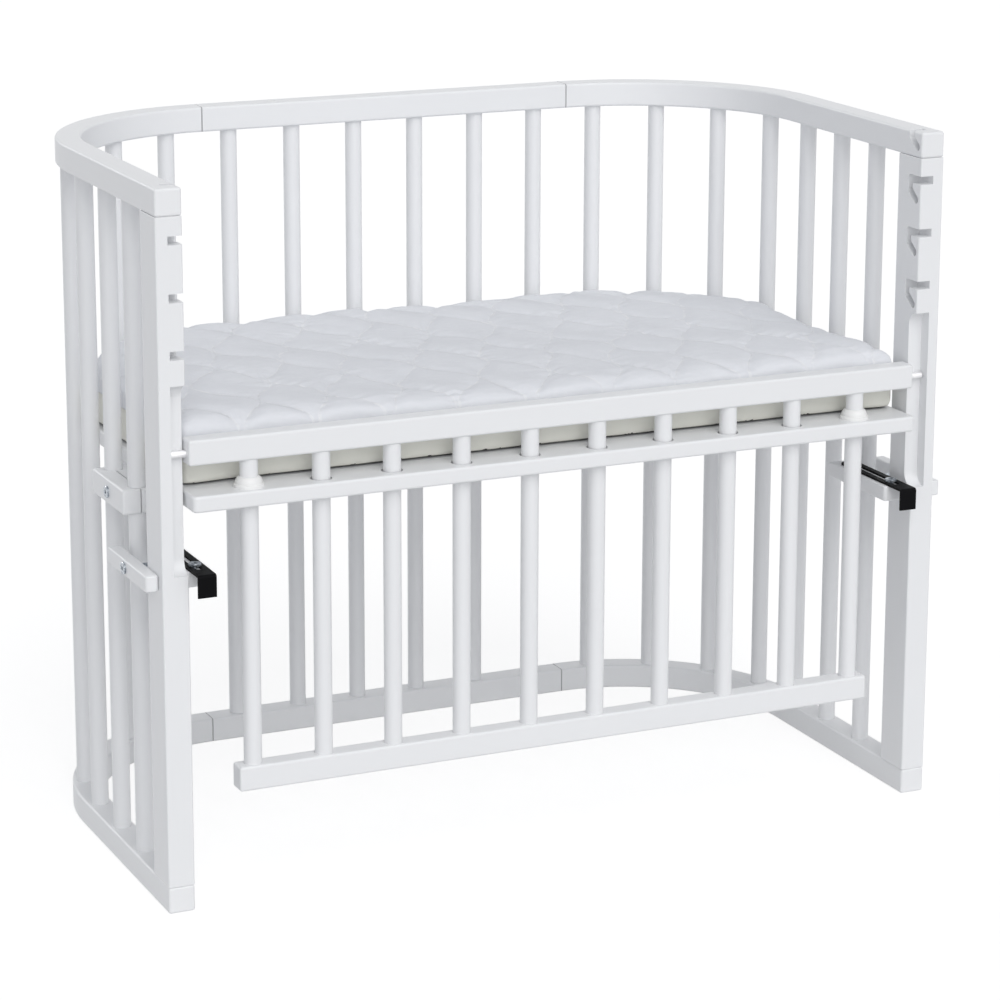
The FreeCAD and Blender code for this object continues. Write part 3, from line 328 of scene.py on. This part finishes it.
hands = ("left", "right")
lacquer("z").on(*(name for name in nodes if name.startswith(("bar_", "post_", "gate_bar_"))))
lacquer("x").on("gate_top_rail", "gate_bottom_rail", "base_board", "clamp_blocks_rear")
lacquer("x", jointed=True).on("bottom_rim_back", "top_rim_back")
lacquer("y").on(*(f"{piece}_{hand}" for hand in hands for piece in
                  ("clamp_outer", "clamp_inner", "carrier_outer", "carrier_inner")))
lacquer("bend", jointed=True).on(
    *(f"{height}_rim_{hand}" for hand in hands for height in ("bottom", "top")))
print("lacquered:", sum(len(node.data.materials) > 0 for node in nodes.values()))

# %% [markdown]
# ## Plastic, zinc, black steel and bare beech
#
# Five small finishes are left. The collars and the two caps in the rim are moulded white
# plastic, a shade warmer and softer than lacquer. The screws are steel under bright zinc,
# which is never mirror clean: it clouds in patches and scratches where a key turned. The
# barrier's pins are turned and plated in satin nickel, with fine lines round them. The
# brackets are black powder coat, a film of melted grains, so its bump is a fine pebble. The
# dowels inside the joints are bare beech, seen only when the model is taken apart.

# %% Small finishes
plastic = Finish("white_plastic", {
    "Base Color": (0.87, 0.87, 0.86, 1), "Roughness": 0.38, "IOR": 1.49})
everywhere = plastic.point(*plastic.place())
skin = plastic.noise(everywhere, scale=1500.0, detail=1.0)
flow = plastic.noise(everywhere, scale=60.0, detail=2.0)
plastic.bump(skin, 0.00003)
plastic.feed_varying(Base_Color=plastic.mix(flow, (0.862, 0.862, 0.855), (0.882, 0.881, 0.872)),
             Roughness=0.33 + flow * 0.1)
plastic.on("gate_stops", "plug_caps")

zinc = Finish("zinc_plate", {
    "Base Color": (0.44, 0.47, 0.51, 1), "Roughness": 0.3, "Metallic": 1.0})
everywhere = zinc.point(*zinc.place())
cloud = zinc.noise(everywhere, scale=380.0, detail=3.0)
scratch = zinc.noise(everywhere, scale=2600.0, detail=1.0)
zinc.bump(cloud * 0.6 + scratch * 0.4, 0.00004)
patch = zinc.step(cloud, 0.35, 0.65)
zinc.feed_varying(Base_Color=zinc.mix(patch, (0.25, 0.28, 0.32), (0.60, 0.64, 0.68)),
          Roughness=0.18 + cloud * 0.24)
zinc.on("base_clamp_screws", "carrier_screws_left", "carrier_screws_right")

nickel = Finish("satin_nickel", {
    "Base Color": (0.86, 0.86, 0.87, 1), "Roughness": 0.55, "Metallic": 1.0})
x, y, z = nickel.place()
turned_lines = nickel.noise(nickel.point(x * 2500, y * 60, z * 60), detail=2.0)
nickel.bump(turned_lines, 0.00003)
nickel.feed_varying(Base_Color=nickel.mix(turned_lines, (0.80, 0.80, 0.81), (0.90, 0.90, 0.91)),
            Roughness=0.48 + turned_lines * 0.14)
nickel.on("gate_pins")

powder = Finish("black_powder_coat", {
    "Base Color": (0.003, 0.003, 0.004, 1), "Roughness": 0.5, "IOR": 1.5,
    "Specular IOR Level": 0.05})
everywhere = powder.point(*powder.place())
grains = powder.noise(everywhere, scale=1800.0, detail=1.0)
patch = powder.noise(everywhere, scale=120.0, detail=2.0)
powder.bump(grains, 0.00008)
soot, ash = (0.003, 0.003, 0.0035), (0.006, 0.006, 0.007)
powder.feed_varying(Base_Color=powder.mix(grains * 0.7 + patch * 0.3, soot, ash),
            Roughness=0.42 + patch * 0.14)
powder.on("bracket_left", "bracket_right")

beech = Finish("bare_beech", {"Base Color": (0.62, 0.42, 0.25, 1), "Roughness": 0.6})
x, y, z = beech.place()
flecks = beech.noise(beech.point(x * 60, y * 900, z * 900), detail=2.0)
beech.bump(flecks, 0.00008)
beech.feed_varying(Base_Color=beech.mix(flecks, (0.52, 0.33, 0.19), (0.70, 0.50, 0.31)))
beech.on("joint_dowels")
print("bare nodes:", [name for name, node in nodes.items() if not node.data.materials])

# %% [markdown]
# ## The mattress: its plan
#
# The mattress fills the crib inside the bars: straight sides, round corners at the back that
# run parallel to the rim, and a front that draws in a little between its ends. A point of its
# outline is a function of one number that goes once round. We write one half of it as a
# polygon with fine arcs, mirror it, and then spread the points evenly along its length,
# because an even spacing keeps the pad's facets alike in size.

# %% Outline of the mattress
low, high = (np.array(corner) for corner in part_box("mattress"))
board_top = low[2]
mattress_half = high[0]
mattress_back, mattress_front = high[1], low[1]
corner_small = 0.004    # the radius of the two front corners
front_bow = 0.003       # how far the front draws in between them


def outline(inset, count):
    """The plan, drawn in by inset: corners at the back are arcs about the rim's own centres,
    x = centre + r cos a and y = centre + r sin a, the front is a shallow parabola,
    y = front + b (1 - s^2) with s from -1 to 1, and the two front corners are quarter circles.
    The points are then spread evenly: their places are read off the running length by
    interpolation."""
    half = mattress_half - inset
    reach = mattress_back - bend_y - inset
    turn = np.arccos((half - bend_x) / reach)
    arc = np.linspace(turn, np.pi / 2, 60)
    quarter = np.linspace(-np.pi / 2, 0, 16)
    small = corner_small
    rise = mattress_front + inset
    bow = np.linspace(-1, 1, 61)[31:-1]
    right_half = np.concatenate([
        np.stack([bow * (half - small), rise + front_bow * (1 - bow ** 2)]),
        np.stack([half - small + small * np.cos(quarter), rise + small + small * np.sin(quarter)]),
        np.stack([bend_x + reach * np.cos(arc), bend_y + reach * np.sin(arc)])], axis=1)
    loop = np.concatenate([right_half, right_half[:, ::-1] * [[-1], [1]]], axis=1)
    loop = np.concatenate([loop, loop[:, :1]], axis=1)
    run = np.concatenate([[0], np.cumsum(np.hypot(*np.diff(loop, axis=1)))])
    even = np.linspace(0, run[-1], count, endpoint=False)
    return np.stack([np.interp(even, run, loop[0]), np.interp(even, run, loop[1])])


print("outline round the mattress:", outline(0, 8).round(3).tolist())

# %% [markdown]
# ## The mattress: a pad blown up like a cushion
#
# Foam inside a tight cover bulges: its top is highest in the middle, its sides belly out and
# its edges round off unevenly. Drawing that by hand looks stiff. Cloth simulation gives it
# for little: we start from a slightly smaller slab, remesh it evenly, blow it up with
# pressure for twenty frames without gravity, and hold back any point that moves too far.

# %% Slab and simulation
def slab(inset, bottom, top, soft, low_soft, rings=26, around=420):
    """A closed slab with rounded edges. Its rows of points go from the middle of the underside
    out to the edge, up the side and back to the middle of the top. Under and on the slab a row
    is the outline drawn towards its centre by a share. At the edges, rounded with the radius r
    that is soft at the top and low_soft at the foot, the distances from the sheer side and
    from the level face follow a quarter circle: r (1 - sin a) and r (1 - cos a)."""
    centre = np.array([[0.0], [(mattress_front + mattress_back) / 2]])
    quarter = np.linspace(0, np.pi / 2, 6)
    shares = np.linspace(0.04, 1, rings)
    foot, crown = outline(inset + low_soft, around), outline(inset + soft, around)
    rows = [centre + (foot - centre) * share for share in shares[:-1]]
    levels = [bottom] * (rings - 1)
    for angle in quarter:
        rows.append(outline(inset + low_soft * (1 - np.sin(angle)), around))
        levels.append(bottom + low_soft * (1 - np.cos(angle)))
    for angle in quarter[::-1]:
        rows.append(outline(inset + soft * (1 - np.sin(angle)), around))
        levels.append(top - soft * (1 - np.cos(angle)))
    rows += [centre + (crown - centre) * share for share in shares[:-1][::-1]]
    levels += [top] * (rings - 1)
    grid = np.stack([np.concatenate([row, np.full((1, around), level)]).T
                     for row, level in zip(rows, levels)])
    ends = np.array([[*centre[:, 0], bottom], [*centre[:, 0], top]])
    points = np.concatenate([grid.reshape(-1, 3), ends])
    count = len(rows)
    i, j = (a.ravel() for a in np.meshgrid(np.arange(count - 1), np.arange(around), indexing="ij"))
    k = (j + 1) % around
    quads = np.stack([i * around + j, i * around + k,
                      (i + 1) * around + k, (i + 1) * around + j], axis=1)
    j = np.arange(around)
    k = (j + 1) % around
    first, last = count * around, count * around + 1
    top_row = (count - 1) * around
    fans = [np.stack([np.full(around, first), k, j], axis=1),
            np.stack([np.full(around, last), top_row + j, top_row + k], axis=1)]
    return points, quads.tolist() + np.concatenate(fans).tolist()


def mesh_object(name, points, faces):
    """Put points and faces into a new object at the origin."""
    mesh = bpy.data.meshes.new(name)
    mesh.from_pydata(points.tolist(), [], faces)
    mesh.validate()
    piece = bpy.data.objects.new(name, mesh)
    bpy.context.scene.collection.objects.link(piece)
    return piece


def points_of(piece):
    """A mesh's points as an array."""
    points = np.empty(len(piece.data.vertices) * 3)
    piece.data.vertices.foreach_get("co", points)
    return points.reshape(-1, 3)


def move_points(piece, points):
    """Put an array of points back into a mesh."""
    piece.data.vertices.foreach_set("co", points.ravel())
    piece.data.update()


def apply_modifiers(piece):
    """Freeze what the modifiers make into the piece's own mesh."""
    graph = bpy.context.evaluated_depsgraph_get()
    done = bpy.data.meshes.new_from_object(piece.evaluated_get(graph))
    piece.modifiers.clear()
    piece.data = done
    done.name = piece.name


even_facet = 0.006
frames, pressure, furthest = 20, 4.0, 0.006

mattress = mesh_object("quilted_mattress", *slab(
    inset=0.0008, bottom=board_top + 0.001, top=high[2] - 0.001, soft=0.010, low_soft=0.003))
remesh = mattress.modifiers.new("even", "REMESH")
remesh.mode = "VOXEL"
remesh.voxel_size = even_facet
apply_modifiers(mattress)
before = points_of(mattress)
cloth = mattress.modifiers.new("blow", "CLOTH")
cloth.settings.use_pressure = True
cloth.settings.uniform_pressure_force = pressure
cloth.settings.effector_weights.gravity = 0.0
cloth.point_cache.frame_start, cloth.point_cache.frame_end = 1, frames
for number in range(1, frames + 1):
    bpy.context.scene.frame_set(number)
apply_modifiers(mattress)
bpy.context.scene.frame_set(1)
moved = points_of(mattress) - before
far = np.linalg.norm(moved, axis=1, keepdims=True)
move_points(mattress, before + moved * np.minimum(1, furthest / np.maximum(far, 1e-9)))
print("the pad swelled by up to", round(float(far.max()) * 1000, 1), "mm")
finer = mattress.modifiers.new("finer", "SUBSURF")
finer.levels = finer.render_levels = 1
apply_modifiers(mattress)
print("points in the mattress:", len(mattress.data.vertices))

# %% [markdown]
# ## The mattress: quilting and creases
#
# The cover's top is a sandwich of fabric and wadding, sewn through in an ogee: two families
# of wavy lines that sway against each other, so that neighbours nearly touch, part and touch
# again. Between the lines the wadding stands up in pointed puffs. The sewn thread also
# gathers the cloth, which leaves short creases square to each line.
#
# All of it is a height that depends on the distance to the nearest sewn line. Working that
# distance out for every point at once is a few lines of numpy, and the same formula comes
# back in the material for the stitches themselves. Real cloth is never sewn so straight, so
# each point first looks up where it lay on the flat cloth. The mesh keeps that place as an
# attribute for the material, and the stitches run in the channels however they bend.

# %% Quilting
quilt_step = 0.0435    # between neighbouring lines, p below
quilt_sway = 0.0205    # how far a line sways to each side, a
quilt_long = 0.160     # the length of one whole sway, q
quilt_deep = 0.0050    # from the sewn line up to the top of a puff
puff_half = 0.021      # from the sewn line across to the top of a puff
seam_high = board_top + 0.041


def ripples(x, y, waves):
    """A sum of a cos(2 pi (x cos t + y sin t) / l + f) over waves (a, l, t in degrees, f)."""
    total = 0
    for a, l, t, f in waves:
        run = x * math.cos(math.radians(t)) + y * math.sin(math.radians(t))
        total = total + a * np.cos(2 * np.pi * run / l + f)
    return total


def pulled(x, y):
    """Where a point lay on the flat cloth. Sewing and use drag the pattern a few millimetres."""
    drag_x = [(0.0042, 0.23, 65, 0.5), (0.0026, 0.121, 118, 2.2), (0.0010, 0.047, 20, 1.0)]
    drag_y = [(0.0060, 0.27, 20, 1.1), (0.0036, 0.131, 150, 3.0), (0.0012, 0.053, 75, 0.3)]
    return x + ripples(x, y, drag_x), y + ripples(x, y, drag_y)


def sewn(x, y):
    """Distance to the nearest sewn line. Line k runs along x = k p + (-1)^k a cos(2 pi y / q).
    Even and odd lines each repeat every 2 p, so the distance across is found with a remainder,
    and dividing by sqrt(1 + slope^2) turns it square to the line."""
    phase = 2 * np.pi * y / quilt_long
    sway = quilt_sway * np.cos(phase)
    even = np.abs((x - sway + quilt_step) % (2 * quilt_step) - quilt_step)
    odd = np.abs((x + sway) % (2 * quilt_step) - quilt_step)
    slope = 2 * np.pi * quilt_sway / quilt_long * np.sin(phase)
    return np.minimum(even, odd) / np.sqrt(1 + slope ** 2)


def smooth(value, start, end):
    """0 before start, 1 after end, and 3 t^2 - 2 t^3 between."""
    t = np.clip((value - start) / (end - start), 0, 1)
    return t * t * (3 - 2 * t)


points = points_of(mattress)
normals = np.empty(len(points) * 3)
mattress.data.vertices.foreach_get("normal", normals)
normals = normals.reshape(-1, 3)
x, y, z = points.T
upper = smooth(normals[:, 2], 0.05, 0.75)
side = 1 - np.abs(normals[:, 2])
cloth_x, cloth_y = pulled(x, y)
gap = sewn(cloth_x, cloth_y)
puff = 1 - (1 - np.clip(gap / puff_half, 0, 1)) ** 2.3
full = 0.75 + 0.25 * ripples(x, y, [(0.6, 0.19, 50, 0.3), (0.4, 0.093, 140, 1.7)])
wander = ripples(x, y, [(2.6, 0.31, 20, 0.4), (2.2, 0.17, 75, 1.9), (1.3, 0.083, 130, 4.0)])
strength = ripples(x, y, [(0.7, 0.23, 35, 1.0), (0.6, 0.125, 100, 2.6)])
strength = np.clip(0.35 + 0.65 * strength, 0, 1)

# Creases every 16.5 and 11.5 mm along the lines, which fade 12 mm away from them
gather = np.cos(2 * np.pi * cloth_y / 0.0165 + wander)
gather = gather + 0.5 * np.cos(2 * np.pi * cloth_y / 0.0115 + 1.7 * wander)
creases = gather * np.exp(-gap / 0.012) * strength
waves = ripples(x, y, [(0.0010, 0.29, 15, 0.7), (0.0014, 0.23, 78, 2.1), (0.0007, 0.113, 115, 0.2),
                       (0.0005, 0.061, 40, 3.3)])
lift = upper * (quilt_deep * full * (puff - 1) + 0.0010 * creases + waves)
lift += side * ripples(x, z, [(0.0008, 0.083, 8, 0.5), (0.0005, 0.047, 30, 2.0)])
points = points + normals * lift[:, None]
print("channels and puffs differ by", round(float(np.ptp(lift[upper > 0.99])) * 1000, 1), "mm")

# %% [markdown]
# The pad has to lie in the crib. It rests flat on the board, stays behind the barrier and
# doesn't reach the posts or bars. Instead of testing for hits we move back whatever passes
# the outline: a point beyond the corner's radius goes back along that radius, and one beyond
# a straight side goes back square to it.

# %% Room for the mattress
bend_room, side_room, front_room = 0.0015, 0.0005, 0.0008
foot_gap, crown_room = 0.0004, 0.0075


def kept_inside(points):
    """Points held inside the plan grown by the room above. Beyond the bend's start the
    distance r = hypot(x - cx, y - cy) is limited to the bend's reach, elsewhere x and y are."""
    x, y, z = points.T.copy()
    reach = mattress_back - bend_y + bend_room
    dx, dy = np.maximum(np.abs(x) - bend_x, 0), np.maximum(y - bend_y, 0)
    radius = np.hypot(dx, dy)
    scale = np.minimum(1, reach / np.maximum(radius, 1e-9))
    corner = radius > reach
    x = np.where(corner, np.sign(x) * (np.minimum(np.abs(x), bend_x) + dx * scale), x)
    y = np.where(corner, np.minimum(y, bend_y) + dy * scale, y)
    x = np.clip(x, -mattress_half - side_room, mattress_half + side_room)
    y = np.maximum(y, mattress_front - front_room)
    z = np.clip(z, board_top + foot_gap, high[2] + crown_room)
    return np.stack([x, y, z], axis=1)


move_points(mattress, kept_inside(points))
mattress.data.polygons.foreach_set("use_smooth", np.ones(len(mattress.data.polygons), bool))
flat_cloth = mattress.data.attributes.new("flat_cloth", "FLOAT_VECTOR", "POINT")
flat_cloth.data.foreach_set("vector", np.stack([cloth_x, cloth_y, z], axis=1).ravel())
mattress.data.update()

# %% [markdown]
# ## The mattress: its cover
#
# Two fabrics meet in a seam near the top edge: white quilted jersey above, and a slightly
# cream canvas round the sides. Both have a weave of about a millimetre, drawn here as two
# crossed rows of waves in the crib's own coordinates.
#
# The sewn lines get their thread from the same ogee as the puffs. The material reads the
# attribute flat_cloth, which says where each point lay on the flat cloth, so thread and
# channel stay together however the cloth was dragged. A line is a narrow groove with a
# stitch every 3.5 mm in it. Here and there the thread and the cloth a few millimetres beside
# it are painted paler than the jersey: partly the thread's own paler colour, partly a painted
# highlight where the puckers catch the light. Along the foot of the sides, under the hem, a
# thin dark line that isn't quite even is painted shadow where the cover meets the board.

# %% Cover
cover = Finish("mattress_cover", {
    "Base Color": (0.80, 0.805, 0.82, 1), "Roughness": 0.92, "Sheen Weight": 0.15,
    "Sheen Roughness": 0.5, "Specular IOR Level": 0.2})
step = cover.step


def rows_along(place, pitch):
    """A sine wave along a coordinate, once every pitch metres."""
    return (place * (math.tau / pitch)).sine()


x, y, z = cover.place()
everywhere = cover.point(x, y, z)
top = step(z, seam_high - 0.0004, seam_high + 0.0004)
flat = cover.node("ShaderNodeAttribute", {"attribute_name": "flat_cloth"}, {}, "Vector")
u, v = (cover.node("ShaderNodeSeparateXYZ", {}, {0: flat}, axis) for axis in (0, 1))

# The function sewn once more, in nodes
sway = (v * (math.tau / quilt_long) + math.pi / 2).sine() * quilt_sway
even = abs((u - sway).wrapped(quilt_step))
odd = abs((u + sway + quilt_step).wrapped(quilt_step))
slope = rows_along(v, quilt_long) * (math.tau * quilt_sway / quilt_long)
thread = even.least(odd) / (slope * slope + 1).root()

groove = 1 - step(thread, 0.0002, 0.0011)
# Mask up to 2.4 mm from a sewn line, for the paler thread and the painted highlight beside it
pale_thread_and_painted_highlight = 1 - step(thread, 0.0006, 0.0024)
stitches = (1 - step(thread, 0.0002, 0.0005)) * step(rows_along(v, 0.0035), -0.7, -0.3)
knit = rows_along(x, 0.0011) * rows_along(y, 0.0014)
canvas = rows_along(x + y, 0.0009) * rows_along(z, 0.0009)
pile = cover.noise(everywhere, scale=900.0, detail=2.0)
fluff = cover.noise(everywhere, scale=70.0, detail=4.0, rough=0.65)
folds = cover.noise(cover.point(u * 38, v * 130, 0.0), detail=4.0, rough=0.6)

# The seam, a row of overlock stitches 4 mm under it, and the painted shadow at the foot, where the
# cover meets the board
seam = 1 - step(abs(z - seam_high), 0.0004, 0.0012)
under_seam = 1 - step(abs(z - seam_high + 0.004), 0.0002, 0.0005)
overlock = seam + under_seam * step(rows_along(x + y, 0.004), -0.5, 0.2)
edge = cover.noise(cover.point(x * 45.0, y * 45.0, 0.0), detail=3.0, rough=0.7)
# foot is the mask of a painted shadow, a thin dark line up to 2 to 3 mm above the board with a
# ragged top, and is also pressed into the bump
foot = 1 - step(z - (edge - 0.56).largest(0.0) * 0.022, board_top + 0.0018, board_top + 0.0028)

jersey_relief = (knit * 0.05 + pile * 0.10 + fluff * 0.6 + folds * 1.8
                 - groove * 0.4 + stitches * 0.35)
canvas_relief = (canvas * 0.10 + pile * 0.05 + fluff * 0.2
                 + overlock * 0.6 - seam * 1.4 - foot)
cover.bump(top * jersey_relief + (1 - top) * canvas_relief, 0.0006)

jersey = cover.mix(fluff, (0.77, 0.785, 0.82), (0.83, 0.84, 0.87))
# Painted highlight: near the sewn lines, where the folds rise, the colour turns paler, partly the
# thread's own colour and partly light caught on the puckers
jersey = cover.mix(pale_thread_and_painted_highlight * step(folds, 0.38, 0.62) * 0.7, jersey, (0.91, 0.915, 0.93))
cream = cover.mix(canvas * 0.15 + fluff * 0.6, (0.85, 0.845, 0.77), (0.89, 0.885, 0.82))
# Painted shadow: the near-black colour of the line along the foot, where the cover meets the board
shadow = (0.035, 0.037, 0.03)
cover.feed_varying(Base_Color=cover.mix(foot * (1 - top), cover.mix(top, cream, jersey), shadow),
           Roughness=0.86 + fluff * 0.12)

mattress.data.materials.clear()
mattress.data.materials.append(cover.material)
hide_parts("mattress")
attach(mattress, "base")
points = points_of(mattress)
print("mattress:", points.min(0).round(4).tolist(), points.max(0).round(4).tolist())
